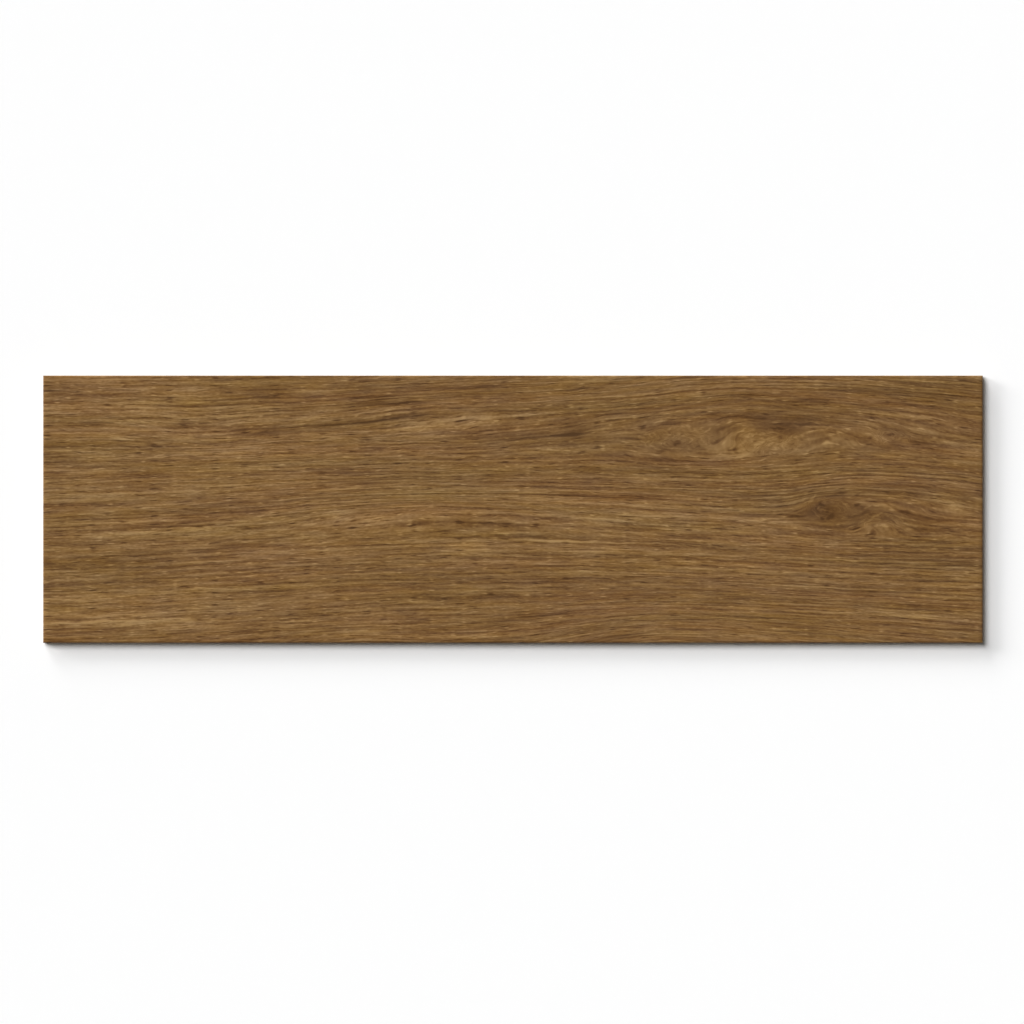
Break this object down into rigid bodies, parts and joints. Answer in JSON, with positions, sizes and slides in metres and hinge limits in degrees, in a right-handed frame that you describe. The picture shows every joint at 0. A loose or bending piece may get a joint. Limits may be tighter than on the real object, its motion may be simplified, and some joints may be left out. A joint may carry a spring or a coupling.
{
  "type": "porcelain tile",
  "caption": "Rectangular wood-look porcelain plank tile with an eased glazed face edge and a pressed keying grid on its back.",
  "frame": {"origin": "centre of the back, on the plane that the ribs of the back lie on", "axes": "+X along the plank, parallel to the printed grain; +Y across it; +Z out of the printed face"},
  "size_m": [0.615, 0.175, 0.009],
  "materials": {
    "glazed_face": "matte"
  },
  "bodies": {
    "root": {"tile": "glazed_face"}
  },
  "joints": []
}
